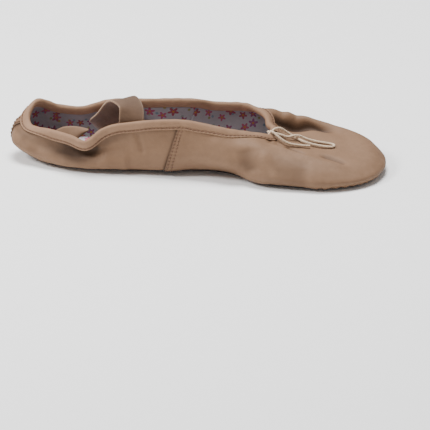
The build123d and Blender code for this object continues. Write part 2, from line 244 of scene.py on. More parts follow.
FAR_QUARTER = [
    Station((-38, 16), 90, (8, 6), (9, 14), (8, 24), (6, 34.3)),
    Station((-60, 18), 90, (8, 6), (8.5, 14), (6.5, 24), (4, 32.8)),
    Station((-78, 19), 95, (7.4, 6), (8, 12.5), (5.5, 20), (2.5, 27.2)),
    Station((-91, 15.5), 116, (7.5, 5.5), (9.5, 13), (8, 21), (4.3, 28.6)),
    Station((-99, 7.5), 146, (8, 5), (14, 12.5), (14, 25), (8, 34.2)),
    Station((-102, 3), 163, (8.6, 5), (16, 12.5), (15.2, 22), (7, 30)),
]
RING = [
    BACK_SEAM,
    *NEAR_QUARTER,
    NEAR_SEAM,
    *NEAR_VAMP,
    TOE_TIP,
    *FAR_VAMP,
    FAR_SEAM,
    *FAR_QUARTER,
]


def looped(rows):
    """Rows of a closed ring, with a few of them repeated at both ends."""
    return np.concatenate([rows[-REPEATED:], rows, rows[: REPEATED + 1]])


def ring_grid():
    """The outer face all round: a closed grid of points, and the column of each station."""
    cuts = looped(np.array([station.rows() for station in RING]))
    steps = np.linalg.norm(np.diff(cuts, axis=0), axis=2)
    widths = 0.5 * (steps[:, 3] + steps[:, -1]) + 0.5 * steps.mean(axis=1)
    knots = np.concatenate([[0.0], np.cumsum(widths)])
    knots -= knots[REPEATED]
    ends = knots[REPEATED : REPEATED + len(RING) + 1]
    places = []
    columns = []
    for start, end in zip(ends, ends[1:]):
        count = max(3, round((end - start) / COLUMN_PITCH))
        columns.append(len(places))
        places += list(start + (end - start) * np.arange(count) / count)
    grid = smooth(knots, cuts, np.array(places))
    return softened(grid, RING_SOFTENING, closed=True), columns


ring, station_columns = ring_grid()
COLUMN = dict(zip([id(station) for station in RING], station_columns))


def column_of(station):
    """The ring's column at a station."""
    return COLUMN[id(station)]


# ---- folds in the leather


def distance_to(points, line):
    """The distance of each point from a line of points, and the share along it."""
    line = np.asarray(line, float)
    flat = points.reshape(-1, 3)
    best = np.full(len(flat), 1e9)
    place = np.zeros(len(flat))
    spots = lengths_along(line)
    for index, (start, end) in enumerate(zip(line, line[1:])):
        run = end - start
        share = np.clip((flat - start) @ run / (run @ run), 0, 1)
        gap = np.linalg.norm(flat - start - share[:, None] * run, axis=1)
        nearer = gap < best
        best[nearer] = gap[nearer]
        along = spots[index] + share * (spots[index + 1] - spots[index])
        place[nearer] = along[nearer] / spots[-1]
    return best.reshape(points.shape[:-1]), place.reshape(points.shape[:-1])


def fold(points, line, width, height, fade=0.25):
    """A soft ridge of this height (a valley if negative) along a line, faded at its ends. A
    line of (x, y) points marks the top of the vamp, at whatever height that has."""
    if len(line[0]) == 2:
        line = [(x, y, 0) for x, y in line]
        points = points * np.array([1.0, 1.0, 0.0])
    gap, place = distance_to(points, finely(line, 24) if len(line) > 2 else line)
    ends = smoothstep(0, fade, place) * smoothstep(0, fade, 1 - place)
    return height * np.exp(-((gap / width) ** 2)) * ends


# Each fold is a line on the outer face, its width, and its height (negative for a valley)
FOLDS = [
    # under the casing's dip on the near side
    ([(-92, -24, 14), (-84, -24, 15), (-75, -23, 15), (-66, -23.5, 15), (-57, -24, 19)], 3.0, -1.9),
    # the slack of the near quarter below it
    ([(-88, -21, 6), (-75, -25, 6), (-62, -26.5, 6.5), (-50, -27.5, 7)], 3.0, 0.8),
    ([(-60, -27, 12), (-50, -28, 9), (-38, -28, 8)], 6.0, 1.2),
    # a crease that runs down from the casing in front of the strap
    ([(-37, -24.5, 30), (-33, -25.5, 22), (-31, -26.5, 14)], 1.6, -0.9),
    ([(-41, -24.5, 31), (-38, -25.5, 23), (-37, -26.5, 15)], 2.6, 0.6),
    # the near wall of the vamp
    ([(33, -29, 26), (35, -34, 17), (38, -37, 8)], 6.5, -1.2),
    ([(45, -28, 24), (50, -36, 14), (56, -41, 6)], 3.0, 0.6),
    ([(12, -26, 30), (20, -28, 20), (30, -32, 10)], 5.0, 0.7),
    # the crease along the far edge of the vamp, and the roll behind it
    ([(40, 19), (52, 25), (62, 27), (74, 27.5), (86, 26)], 2.6, -3.2),
    ([(44, 31), (56, 32.5), (70, 34), (84, 34)], 3.2, 0.7),
    # the near ridge of the vamp, and the hollow side below it
    ([(40, -17), (52, -20), (63, -22), (77, -24), (90, -25), (103, -23)], 2.6, 1.7),
    ([(44, -33), (54, -35), (66, -36), (78, -35)], 7.5, -0.9),
    # dents beside the drawstring and towards the toe
    ([(56, -12), (64, -13), (72, -15.5)], 1.7, -1.5),
    ([(78, -13), (87, -14.5), (94, -18), (97, -22)], 2.0, -1.5),
    ([(52, 10), (62, 10), (74, 9)], 5.0, 0.7),
    # the heel cup
    ([(-112, -10, 17), (-106, -17, 12), (-97, -21, 9)], 3.0, -0.7),
    ([(-110, 12, 22), (-104, 18, 14), (-97, 22, 9)], 3.5, -0.6),
]


def throat_gathers(points):
    """Small puckers round the throat, which the drawstring pulls together."""
    away = points - KNOT
    distance = np.linalg.norm(away, axis=-1)
    angle = np.arctan2(away[..., 1], away[..., 0])
    wave = np.cos(15 * angle + 1.6 * np.sin(2.3 * angle)) * (0.75 + 0.25 * np.cos(4 * angle))
    reach = smoothstep(2.0, 4.5, distance) * np.exp(-(((distance - 4) / 8.5) ** 2))
    front = smoothstep(34, 44, points[..., 0])
    return 0.55 * wave * reach * front


PLEAT_PITCH = 5.2
PLEAT_DEPTH = 1.15
PLEAT_ROW = 6


def toe_pleats(grid):
    """Pleats where the leather is gathered in under the toe, and weaker ones at the heel."""
    edge = grid[:, PLEAT_ROW]
    place = lengths_along(edge)[:, None]
    height = grid[..., 2]
    row = np.arange(grid.shape[1])[None, :] * LOW_ROW_PITCH
    wave = np.cos(2 * pi * place / PLEAT_PITCH + 1.4 * np.sin(place / 9.0))
    fade = np.exp(-(((row - 6.5) / 4.2) ** 2)) * (height < 16)
    front = smoothstep(64, 88, edge[:, 0])[:, None]
    heel = 0.45 * smoothstep(90, 106, -edge[:, 0])[:, None]
    return PLEAT_DEPTH * wave * fade * (front + heel)


def relief(grid):
    """How far the leather stands out from its smooth shape, at each point."""
    height = sum(fold(grid, line, width, rise) for line, width, rise in FOLDS)
    height = height + throat_gathers(grid) + toe_pleats(grid)
    height = height + 0.45 * ripple(grid, 21.0) + 0.22 * ripple(grid, 9.0, 5.0)
    return height + 0.06 * ripple(grid, 3.2, 9.0)


def lap(step):
    """A step up beside a lapped seam, from the number of columns past its edge."""
    return smoothstep(-0.6, 0.4, step) * (1 - 0.8 * smoothstep(5, 14, step))


def closed_columns(first, last):
    """Column numbers from first to last round the ring, both included."""
    if last < first:
        last += len(ring)
    return np.arange(first, last + 1) % len(ring)


def facing_out(grid):
    """Unit normals of a closed grid, pointing out of the slipper."""
    return unit(np.cross(np.roll(grid, -1, 0) - np.roll(grid, 1, 0), np.gradient(grid, axis=1)))


ring_normals = facing_out(ring)
ring_relief = relief(ring)
outer = ring + ring_normals * ring_relief[..., None]
outer[..., 2] = np.maximum(outer[..., 2], FEATHER_HEIGHT)
outer_normals = facing_out(outer)


# ---- making meshes


def scene_object(name, data):
    """A new object in the scene."""
    obj = bpy.data.objects.new(name, data)
    bpy.context.scene.collection.objects.link(obj)
    return obj


def mesh_from(name, points, faces, uvs=None, attributes=None):
    """A mesh object from points in mm, with smooth faces."""
    mesh = bpy.data.meshes.new(name)
    mesh.from_pydata((np.asarray(points) * MM).tolist(), [], [tuple(f) for f in faces])
    mesh.polygons.foreach_set("use_smooth", [True] * len(mesh.polygons))
    if uvs is not None:
        layer = mesh.uv_layers.new(name="UVMap")
        corner = np.zeros(len(mesh.loops), int)
        mesh.loops.foreach_get("vertex_index", corner)
        layer.data.foreach_set("uv", np.asarray(uvs, np.float32)[corner].ravel())
    for key, values in (attributes or {}).items():
        attribute = mesh.attributes.new(key, "FLOAT", "POINT")
        attribute.data.foreach_set("value", np.asarray(values, np.float32).ravel())
    mesh.update()
    return scene_object(name, mesh)


def grid_faces(columns, rows, around=False):
    """Quads of a grid; around joins the last row to the first."""
    faces = []
    spans = rows if around else rows - 1
    for c in range(columns - 1):
        for r in range(spans):
            n = (r + 1) % rows
            faces.append((c * rows + r, (c + 1) * rows + r, (c + 1) * rows + n, c * rows + n))
    return faces


def thicken(obj, thickness, offset=-1.0):
    """Gives a sheet its thickness, to the inside of its faces unless the offset says else."""
    solid = obj.modifiers.new("thickness", "SOLIDIFY")
    solid.thickness = thickness * MM
    solid.offset = offset
    solid.use_even_offset = False


def sheet_grid(name, grid, attributes=None, extra_uv=(0.0, 0.0)):
    """A sheet through a grid of points, with UVs in metres along and up it."""
    columns, rows = grid.shape[:2]
    middle = grid[:, rows // 2]
    along = lengths_along(middle)[:, None] * np.ones((1, rows))
    steps = np.linalg.norm(np.diff(grid, axis=1), axis=2)
    up = np.concatenate([np.zeros((columns, 1)), np.cumsum(steps, axis=1)], axis=1)
    uvs = np.stack([along * MM + extra_uv[0], up * MM + extra_uv[1]], -1).reshape(-1, 2)
    return mesh_from(name, grid.reshape(-1, 3), grid_faces(columns, rows), uvs, attributes)


def tube(name, line, radius, sides=10):
    """A round tube along a fine line of points, with closed ends."""
    tangents = unit(np.gradient(line, axis=0))
    across = unit(np.cross(tangents[0], [0.3, 0.2, 1.0]))
    angles = 2 * pi * np.arange(sides) / sides
    rings = []
    for centre, tangent in zip(line, tangents):
        across = unit(across - tangent * (across @ tangent))
        beside = np.cross(tangent, across)
        circle = np.cos(angles)[:, None] * across + np.sin(angles)[:, None] * beside
        rings.append(centre + radius * circle)
    faces = grid_faces(len(line), sides, around=True)
    faces.append(tuple(range(sides)))
    faces.append(tuple(reversed(range((len(line) - 1) * sides, len(line) * sides))))
    along = lengths_along(line)[:, None] * np.ones((1, sides)) * MM
    turn = np.ones((len(line), 1)) * np.arange(sides)[None, :] / sides
    uvs = np.stack([along, turn], -1).reshape(-1, 2)
    return mesh_from(name, np.concatenate(rings), faces, uvs)


# ---- materials


class Shader:
    """A material, with short calls to add and join its nodes."""

    def __init__(self, name, roughness, specular, sheen=0.0):
        self.material = bpy.data.materials.new(name)
        self.material.use_nodes = True
        self.tree = self.material.node_tree
        self.surface = self.tree.nodes["Principled BSDF"]
        self.surface.inputs["Roughness"].default_value = roughness
        self.surface.inputs["Specular IOR Level"].default_value = specular
        self.surface.inputs["Sheen Weight"].default_value = sheen
        self.surface.inputs["Sheen Roughness"].default_value = 0.5

    def put(self, socket, value):
        """Gives a socket a number, a colour or another node's output."""
        if isinstance(value, bpy.types.NodeSocket):
            self.tree.links.new(value, socket)
        elif value is not None:
            socket.default_value = value

    def node(self, kind, inputs):
        """A node of this kind; inputs are its sockets' values, by their names or places."""
        node = self.tree.nodes.new("ShaderNode" + kind)
        for key, value in inputs.items():
            self.put(node.inputs[key], value)
        return node

    def coordinates(self, kind="Object"):
        return self.node("TexCoord", {}).outputs[kind]

    def attribute(self, name):
        node = self.node("Attribute", {})
        node.attribute_name = name
        return node.outputs["Fac"]

    def math(self, operation, a, b=None, c=None, clamp=False):
        node = self.node("Math", {0: a, 1: b, 2: c})
        node.operation = operation
        node.use_clamp = clamp
        return node.outputs[0]

    def vector(self, operation, a, b):
        node = self.node("VectorMath", {0: a, 1: b})
        node.operation = operation
        return node.outputs["Vector"]

    def split(self, vector):
        return self.node("SeparateXYZ", {0: vector}).outputs

    def noise(self, vector, scale, detail=3.0, roughness=0.5, distortion=0.0):
        look = {"Detail": detail, "Roughness": roughness, "Distortion": distortion}
        return self.node("TexNoise", {"Vector": vector, "Scale": scale, **look}).outputs["Fac"]

    def cells(self, vector, scale, flat=False, randomness=1.0):
        look = {"Vector": vector, "Scale": scale, "Randomness": randomness}
        node = self.node("TexVoronoi", look)
        node.voronoi_dimensions = "2D" if flat else "3D"
        return node

    def ramp(self, value, *stops):
        """A colour or grey for a value; each stop is (place, colour)."""
        node = self.node("ValToRGB", {0: value})
        ramp = node.color_ramp
        while len(ramp.elements) < len(stops):
            ramp.elements.new(0.5)
        for element, (place, colour) in zip(ramp.elements, stops):
            element.position = place
            element.color = colour if np.ndim(colour) else (colour, colour, colour, 1)
        return node.outputs[0]

    def mix(self, share, a, b):
        """Colour a, turning into b as the share goes from 0 to 1."""
        node = self.tree.nodes.new("ShaderNodeMix")
        node.data_type = "RGBA"
        for place, value in zip((0, 6, 7), (share, a, b)):
            self.put(node.inputs[place], value)
        return node.outputs[2]

    def bump(self, height, distance, strength=1.0, under=None):
        """Normals bent by a height, on top of the bumps under it."""
        look = {"Height": height, "Distance": distance, "Strength": strength, "Normal": under}
        return self.node("Bump", look).outputs[0]

    def finish(self, colour, normal=None, roughness=None):
        self.put(self.surface.inputs["Base Color"], colour)
        self.put(self.surface.inputs["Normal"], normal)
        self.put(self.surface.inputs["Roughness"], roughness)
        return self.material


def srgb(red, green, blue):
    """A colour for a socket, from the 0 to 255 values of a screen."""
    shares = np.array([red, green, blue]) / 255
    linear = np.where(shares <= 0.04045, shares / 12.92, ((shares + 0.055) / 1.055) ** 2.4)
    return (*linear, 1.0)


def leather(name, colour, dark, light, roughness=0.62):
    """Soft full-grain leather: fine grain and soft patches, with painted shade in its creases, seams and
    hollows.
    """
    s = Shader(name, roughness, specular=0.22)
    place = s.coordinates()
    patches = s.noise(place, 26, 3, 0.55)
    mottle = s.noise(place, 210, 4, 0.6)
    tone = s.mix(s.ramp(patches, (0.35, 0.0), (0.68, 1.0)), colour, light)
    tone = s.mix(s.math("MULTIPLY", s.ramp(mottle, (0.4, 0.0), (0.75, 1.0)), 0.14), tone, dark)
    # painted shade, read from the mesh, darkens the leather towards its dark colour
    painted_shade = s.attribute("painted_shade")
    tone = s.mix(s.math("MULTIPLY", painted_shade, 0.85, clamp=True), tone, dark)
    grain = s.cells(place, 1500)
    pores = s.noise(place, 3200, 2)
    wrinkles = s.noise(place, 420, 4, 0.62, 0.4)
    normal = s.bump(grain.outputs["Distance"], 0.00012, 0.22)
    normal = s.bump(pores, 0.00008, 0.18, normal)
    normal = s.bump(wrinkles, 0.0006, 0.16, normal)
    shine = s.math("MULTIPLY_ADD", mottle, 0.16, roughness - 0.08)
    return s.finish(tone, normal, shine)


LEATHER_TONE = srgb(119, 91, 69)
# the dark of the leather's mottle, and also the colour of its painted shade
LEATHER_MOTTLE_AND_SHADE = srgb(50, 33, 22)
LEATHER_LIGHT = srgb(126, 98, 76)
CASING_TONE = srgb(132, 102, 79)
CASING_LIGHT = srgb(140, 110, 87)


def leather_material():
    """The tan leather of the vamp, the quarters and the heel grip."""
    return leather("leather_tan", LEATHER_TONE, LEATHER_MOTTLE_AND_SHADE, LEATHER_LIGHT)


def casing_material():
    """The casing's leather, a little lighter and duller than the rest."""
    return leather("leather_casing", CASING_TONE, LEATHER_MOTTLE_AND_SHADE, CASING_LIGHT, 0.66)


# The cotton's print and weave, per metre, and the share of the print's brightness that is kept: the walls'
# low share is painted shade for the deep shade inside the opening, and the sock lining's higher share
# makes the lit copy of the same cotton
FLOWERS = 120
SPECKS = 150
COTTON_THREADS = 2300
WALL_SHADED_BRIGHTNESS = 0.27
SOCK_LIT_BRIGHTNESS = 0.85


def print_material(name, brightness):
    """Cotton with a generic, close print of small pink and red flowers, dimmed by its brightness share;
    the low share makes a copy with painted shade.
    """
    s = Shader(name, 0.85, specular=0.2)

    def dimmed(*colour):
        return (*(np.array(srgb(*colour)[:3]) * brightness), 1.0)

    place = s.coordinates("UV")
    bed = s.cells(place, FLOWERS, flat=True, randomness=0.72)
    local = s.split(s.vector("SUBTRACT", place, bed.outputs["Position"]))
    tint = s.split(bed.outputs["Color"])
    squares = s.math("ADD", s.math("POWER", local[0], 2), s.math("POWER", local[1], 2))
    radius = s.math("SQRT", squares)
    angle = s.math("ARCTAN2", local[1], local[0])
    turned = s.math("MULTIPLY_ADD", angle, 5.0, s.math("MULTIPLY", tint[2], 6.28))
    petals = s.math("MULTIPLY_ADD", s.math("COSINE", turned), 0.26, 0.74)
    reach = s.math("MULTIPLY", petals, s.math("MULTIPLY_ADD", tint[1], 0.0008, 0.0026))
    gap = s.math("SUBTRACT", reach, radius)
    petal = s.math("MULTIPLY", gap, 4000, clamp=True)
    middle = s.math("MULTIPLY", s.math("SUBTRACT", 0.00085, radius), 5000, clamp=True)
    veins = s.math("MULTIPLY", s.math("DIVIDE", radius, reach), 0.9, clamp=True)
    pink = s.ramp(
        tint[0],
        (0.0, dimmed(214, 62, 122)),
        (0.4, dimmed(226, 96, 148)),
        (0.7, dimmed(186, 48, 72)),
        (1.0, dimmed(168, 74, 150)),
    )
    pink = s.mix(veins, s.mix(0.35, pink, dimmed(244, 196, 212)), pink)
    specks = s.cells(s.vector("ADD", place, (0.031, 0.017, 0)), SPECKS, flat=True, randomness=0.9)
    speck_tint = s.split(specks.outputs["Color"])
    speck = s.math("MULTIPLY", s.math("SUBTRACT", 0.16, specks.outputs["Distance"]), 18, clamp=True)
    speck = s.math("MULTIPLY", speck, s.math("GREATER_THAN", speck_tint[1], 0.45))
    leaf = s.ramp(
        speck_tint[0],
        (0.0, dimmed(146, 168, 122)),
        (0.45, dimmed(222, 190, 108)),
        (0.8, dimmed(158, 182, 200)),
    )
    ground = s.mix(s.noise(place, 60, 2), dimmed(214, 206, 212), dimmed(230, 224, 226))
    colour = s.mix(speck, ground, leaf)
    colour = s.mix(petal, colour, pink)
    colour = s.mix(middle, colour, dimmed(232, 164, 70))
    axes = s.split(place)
    warp = s.math("SINE", s.math("MULTIPLY", axes[0], 2 * pi * COTTON_THREADS))
    weft = s.math("SINE", s.math("MULTIPLY", axes[1], 2 * pi * COTTON_THREADS))
    normal = s.bump(s.math("MULTIPLY", warp, weft), 0.0001, 0.3)
    normal = s.bump(s.noise(s.coordinates(), 300, 3), 0.0006, 0.3, normal)
    return s.finish(colour, normal)


def suede_material():
    """Dark grey brushed suede."""
    s = Shader("suede_grey", 0.95, specular=0.15, sheen=0.35)
    place = s.coordinates()
    nap = s.noise(place, 1600, 4, 0.7, 0.6)
    brushed = s.noise(place, 40, 3, 0.6)
    tone = s.mix(nap, srgb(62, 60, 62), srgb(98, 95, 96))
    tone = s.mix(s.math("MULTIPLY", brushed, 0.5), tone, srgb(78, 72, 70))
    return s.finish(tone, s.bump(nap, 0.0002, 0.5))


# Ribs and picks of the elastic per metre, braids of the cord along its UVs, and strands round it
ELASTIC_RIBS = 1350
ELASTIC_PICKS = 1900
CORD_BRAIDS = 1250
CORD_STRANDS = 4


def elastic_material():
    """Woven tan elastic: ribs along it, and a fine weave across."""
    s = Shader("elastic_tan", 0.7, specular=0.25, sheen=0.15)
    axes = s.split(s.coordinates("UV"))
    ribs = s.math("SINE", s.math("MULTIPLY", axes[1], 2 * pi * ELASTIC_RIBS))
    weave = s.math("SINE", s.math("MULTIPLY", axes[0], 2 * pi * ELASTIC_PICKS))
    crossed = s.math("MULTIPLY", ribs, weave)
    cloth = s.math("MULTIPLY_ADD", crossed, 0.35, s.math("MULTIPLY", ribs, 0.5))
    place = s.coordinates()
    mottle = s.noise(place, 120, 4, 0.6)
    tone = s.mix(s.ramp(mottle, (0.35, 0.0), (0.7, 1.0)), srgb(88, 65, 48), srgb(98, 74, 56))
    # painted shade along the ribs of the weave
    shade = s.math("MULTIPLY_ADD", ribs, 0.08, 0.08, clamp=True)
    tone = s.mix(shade, tone, srgb(58, 39, 27))
    # painted highlight along the strap's two edges
    tone = s.mix(s.attribute("edge"), tone, srgb(150, 122, 98))
    normal = s.bump(cloth, 0.00012, 0.5)
    normal = s.bump(s.noise(place, 260, 4, 0.6), 0.0007, 0.25, normal)
    return s.finish(tone, normal)


def cord_material():
    """Cream braided cotton."""
    s = Shader("cord_cream", 0.8, specular=0.2, sheen=0.2)
    axes = s.split(s.coordinates("UV"))
    length = s.math("MULTIPLY", axes[0], CORD_BRAIDS)
    turn = s.math("MULTIPLY", axes[1], CORD_STRANDS)
    left = s.math("SINE", s.math("MULTIPLY", s.math("ADD", length, turn), 2 * pi))
    right = s.math("SINE", s.math("MULTIPLY", s.math("SUBTRACT", length, turn), 2 * pi))
    braid = s.math("MAXIMUM", left, right)
    # painted shade in the braid's grooves, lighter on its strands
    tone = s.mix(s.math("MULTIPLY_ADD", braid, 0.5, 0.5), srgb(196, 166, 134), srgb(232, 208, 180))
    return s.finish(tone, s.bump(braid, 0.0002, 0.6))


def thread_material():
    """Twisted sewing thread."""
    s = Shader("thread_tan", 0.6, specular=0.35, sheen=0.1)
    place = s.coordinates()
    twist = s.noise(place, 1800, 2)
    tone = s.mix(twist, srgb(84, 54, 36), srgb(120, 84, 60))
    return s.finish(tone, s.bump(twist, 0.0001, 0.5))


def board_material():
    """Grey-brown fibre board."""
    s = Shader("fibre_board", 0.9, specular=0.2)
    fibres = s.noise(s.coordinates(), 700, 4, 0.7)
    tone = s.mix(fibres, srgb(160, 140, 110), srgb(190, 172, 140))
    return s.finish(tone, s.bump(fibres, 0.0002, 0.4))


def foam_material():
    """Pale open-cell foam."""
    s = Shader("foam_pale", 0.95, specular=0.1)
    bubbles = s.cells(s.coordinates(), 1400)
    tone = s.mix(bubbles.outputs["Distance"], srgb(226, 220, 200), srgb(206, 198, 176))
    return s.finish(tone, s.bump(bubbles.outputs["Distance"], 0.0003, 0.5))


LEATHER_LOOK = leather_material()
CASING_LOOK = casing_material()
SHADED_WALL_PRINT_LOOK = print_material("lining_print_shaded", WALL_SHADED_BRIGHTNESS)
LIT_SOCK_PRINT_LOOK = print_material("sock_print_lit", SOCK_LIT_BRIGHTNESS)
SUEDE_LOOK = suede_material()
ELASTIC_LOOK = elastic_material()
CORD_LOOK = cord_material()
THREAD_LOOK = thread_material()
BOARD_LOOK = board_material()
FOAM_LOOK = foam_material()


def dress(obj, look, node, body="shoe"):
    """Gives a piece its material and slot, the node it replaces, and the body it rides on."""
    obj.data.materials.clear()
    obj.data.materials.append(look)
    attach(obj, body)
    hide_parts(node)


def dress_node(node, look):
    """Gives a CAD node that stays in view its material and slot."""
    part = frame["nodes"][node]
    part.data.materials.clear()
    part.data.materials.append(look)


# ---- leather and lining


# Where the near casing dips, and the length of the dip to each side; the painted shade under the casing is
# deepest at the dip
DIP_PLACE = -76
DIP_REACH = 17


def painted_shade_under_casing(columns):
    """Painted shade on the near quarter's leather, in a band under the casing's overhang that is deepest
    at its dip.
    """
    wall = ring[columns]
    steps = np.linalg.norm(np.diff(wall, axis=1), axis=2)
    below = np.cumsum(steps[:, ::-1], axis=1)[:, ::-1]
    below = np.concatenate([below, np.zeros((len(wall), 1))], axis=1)
    x, y = wall[:, -1, 0], wall[:, -1, 1]
    dip = np.exp(-(((x - DIP_PLACE) / DIP_REACH) ** 2))
    near = smoothstep(0, 4, -y) * (1 - smoothstep(-52, -30, x))
    depth = (2.6 + 4.6 * dip)[:, None]
    band = smoothstep(2.2, 3.2, below) * (1 - smoothstep(depth, 2.4 * depth, below - 3.2))
    return 0.9 * near[:, None] * (0.45 + 0.55 * dip)[:, None] * band


def painted_wall_shade(columns):
    """Painted shade on these columns, from 0 to 1: in the creases, where the wall turns in to the sole,
    and under the near casing.
    """
    height = ring_relief[columns]
    shade = np.clip(-height * 0.42 - 0.05, 0, 1)
    # painted shade where the wall turns in to the sole
    sole_shade = np.exp(-((np.arange(height.shape[1]) * LOW_ROW_PITCH / 4.0) ** 2))[None, :]
    return np.clip(shade + 0.6 * sole_shade + painted_shade_under_casing(columns), 0, 1)


def needle_holes(past_seam, rows):
    """How dark the holes of two rows are, from the number of columns past the seam."""
    pricked = 0.45 + 0.55 * np.cos(2 * pi * np.arange(rows) * HIGH_ROW_PITCH / STITCH_PITCH)
    spots = [np.exp(-(((past_seam - column) / 0.75) ** 2)) for column in NEEDLE_HOLE_COLUMNS]
    return sum(spots)[:, None] * pricked


def leather_piece(name, first, last, lap_first=0.0, lap_last=0.0, tuck_first=0, tuck_last=0):
    """A leather piece from one station's column to another's. Where it laps over its
    neighbour it stands up by lap mm; where it is lapped it goes on under by tuck columns."""
    start, end = column_of(first), column_of(last)
    columns = closed_columns(start - tuck_first, end + tuck_last)
    count = len(columns)
    step = np.arange(count)
    back_step = count - 1 - step
    lift = lap_first * lap(step) + lap_last * lap(back_step)
    tucked = -0.5 * (smoothstep(tuck_first, 0, step) if tuck_first else 0)
    tucked = tucked - 0.5 * (smoothstep(tuck_last, 0, back_step) if tuck_last else 0)
    rows = ring.shape[1]
    low = smoothstep(4, 12, np.arange(rows))
    grid = outer[columns] + outer_normals[columns] * (lift + tucked)[:, None, None] * low[:, None]
    shade = painted_wall_shade(columns)
    # painted shade along the edge of each lapped seam
    seam = np.zeros(count)
    for here, past_seam, spread in (
        (lap_first, step, 1.2),
        (lap_last, back_step, 1.2),
        (tuck_first, step - tuck_first, 1.5),
        (tuck_last, back_step - tuck_last, 1.5),
    ):
        if here:
            seam += np.exp(-((past_seam / spread) ** 2))
    shade = np.clip(shade + 0.8 * seam[:, None], 0, 1)
    if lap_first:
        shade = shade + needle_holes(step, rows) * low
    if lap_last:
        shade = shade + needle_holes(back_step, rows) * low
    piece = sheet_grid(name, grid, {"painted_shade": np.clip(shade, 0, 1)})
    thicken(piece, LEATHER)
    dress(piece, LEATHER_LOOK, name.replace("_leather", ""))


leather_piece("vamp_leather", NEAR_SEAM, FAR_SEAM, lap_first=SIDE_LAP, lap_last=SIDE_LAP)
leather_piece("near_quarter_leather", BACK_SEAM, NEAR_SEAM, tuck_first=3, tuck_last=4)
leather_piece("far_quarter_leather", FAR_SEAM, BACK_SEAM, lap_last=BACK_LAP, tuck_first=4)


def lining_piece(name, first, last, print_start):
    """The printed lining behind a leather piece, a little slack."""
    columns = closed_columns(column_of(first), column_of(last))
    base = ring[columns] - ring_normals[columns] * LINING_DEPTH
    base = base + ring_normals[columns] * np.minimum(ring_relief[columns], 0)[..., None]
    rows = base.shape[1]
    row = np.arange(rows)
    slack = 0.35 * (ripple(base, 12.0, 3.0) - 1) * smoothstep(3, 10, row)
    slack = slack * (1 - smoothstep(rows - 10, rows - 2, row))
    grid = base + ring_normals[columns] * slack[..., None]
    piece = sheet_grid(name, grid, extra_uv=(print_start, 0.0))
    thicken(piece, LINING)
    # the walls' lining wears the print's copy with painted shade
    dress(piece, SHADED_WALL_PRINT_LOOK, name.replace("_cotton", ""))


lining_piece("vamp_lining_cotton", NEAR_SEAM, FAR_SEAM, 0.0)
lining_piece("near_quarter_lining_cotton", BACK_SEAM, NEAR_SEAM, 0.7)
lining_piece("far_quarter_lining_cotton", FAR_SEAM, BACK_SEAM, 1.1)


# ---- the drawstring casing


# The strip's face as (outward, up) from the leather's edge: round the lip of the outer leg, up
# over the drawstring and down the inner leg
CASING_SECTION = [
    *[(0.3, -2.8), (0.6, -3.2), (0.95, -3.0), (1.0, -2.55), (0.72, -2.0), (0.7, -1.6)],
    *[(0.88, -0.9), (1.0, -0.2), (1.05, 0.6), (0.95, 1.8), (0.3, 2.9), (-0.85, 3.3)],
    *[(-2.1, 2.8), (-2.75, 1.6), (-2.85, 0.4), (-2.75, -0.8), (-2.6, -1.6), (-2.45, -2.3)],
]
CASING_STITCH_ROW = 6

casing_columns = closed_columns(column_of(FAR_VAMP[1]) - 2, column_of(NEAR_VAMP[4]))


def collar_frames(columns):
    """The leather's edge at the collar, and the directions out of and up along the wall."""
    edge = softened(ring[columns, -1], 4)
    low = softened(ring[columns, -9], 4)
    up = unit(softened(unit(edge - low), 6))
    along = unit(np.gradient(edge, axis=0))
    away = unit(np.cross(along, up))
    return edge, away, unit(np.cross(away, along))


collar_edge, collar_away, collar_up = collar_frames(casing_columns)


def casing_grid():
    """The casing: a strip folded over the collar edge, puckered by its drawstring."""
    section = finely(CASING_SECTION, 44)
    place = lengths_along(collar_edge)[:, None]
    rows = np.arange(len(section))[None, :] / (len(section) - 1)
    pucker = 0.16 * np.sin(place / 1.9 + 2.2 * np.sin(place / 7.0)) * np.sin(pi * rows) ** 2
    slow = 0.15 * np.sin(place / 9.0 + 1.0) * np.exp(-((rows - 0.25) ** 2) / 0.05)
    out = section[None, :, 0] + (pucker + slow) * np.sign(section[None, :, 0] + 0.85)
    up = section[None, :, 1] + 0.12 * np.sin(place / 3.1) * (rows < 0.2)
    grid = collar_edge[:, None] + collar_away[:, None] * out[..., None]
    grid = grid + collar_up[:, None] * up[..., None]
    return grid + 0.12 * ripple(grid, 5.0, 2.0)[..., None] * collar_away[:, None]


casing = casing_grid()
# painted shade along the groove of the casing's stitch row
past_stitches = np.arange(casing.shape[1]) - CASING_STITCH_ROW
stitch_groove_shade = np.exp(-((past_stitches / 1.2) ** 2))[None, :] * np.ones((len(casing), 1))
casing_strip = sheet_grid("drawstring_casing_strip", casing, {"painted_shade": 0.9 * stitch_groove_shade})
thicken(casing_strip, CASING)
dress(casing_strip, CASING_LOOK, "drawstring_casing")


# ---- the sole


SOLE_COLUMNS = 360
SPINE = (-88, 84)


def sole_outline(inset):
    """The closed outline of a sole piece, inset from where the wall meets the sole."""
    feet = looped(np.array([station.foot - station.outward * inset for station in RING]))
    knots = lengths_along(feet)
    places = np.linspace(knots[REPEATED], knots[REPEATED + len(RING)], SOLE_COLUMNS + 1)[:-1]
    return smooth(knots, feet, places)[:, :2]


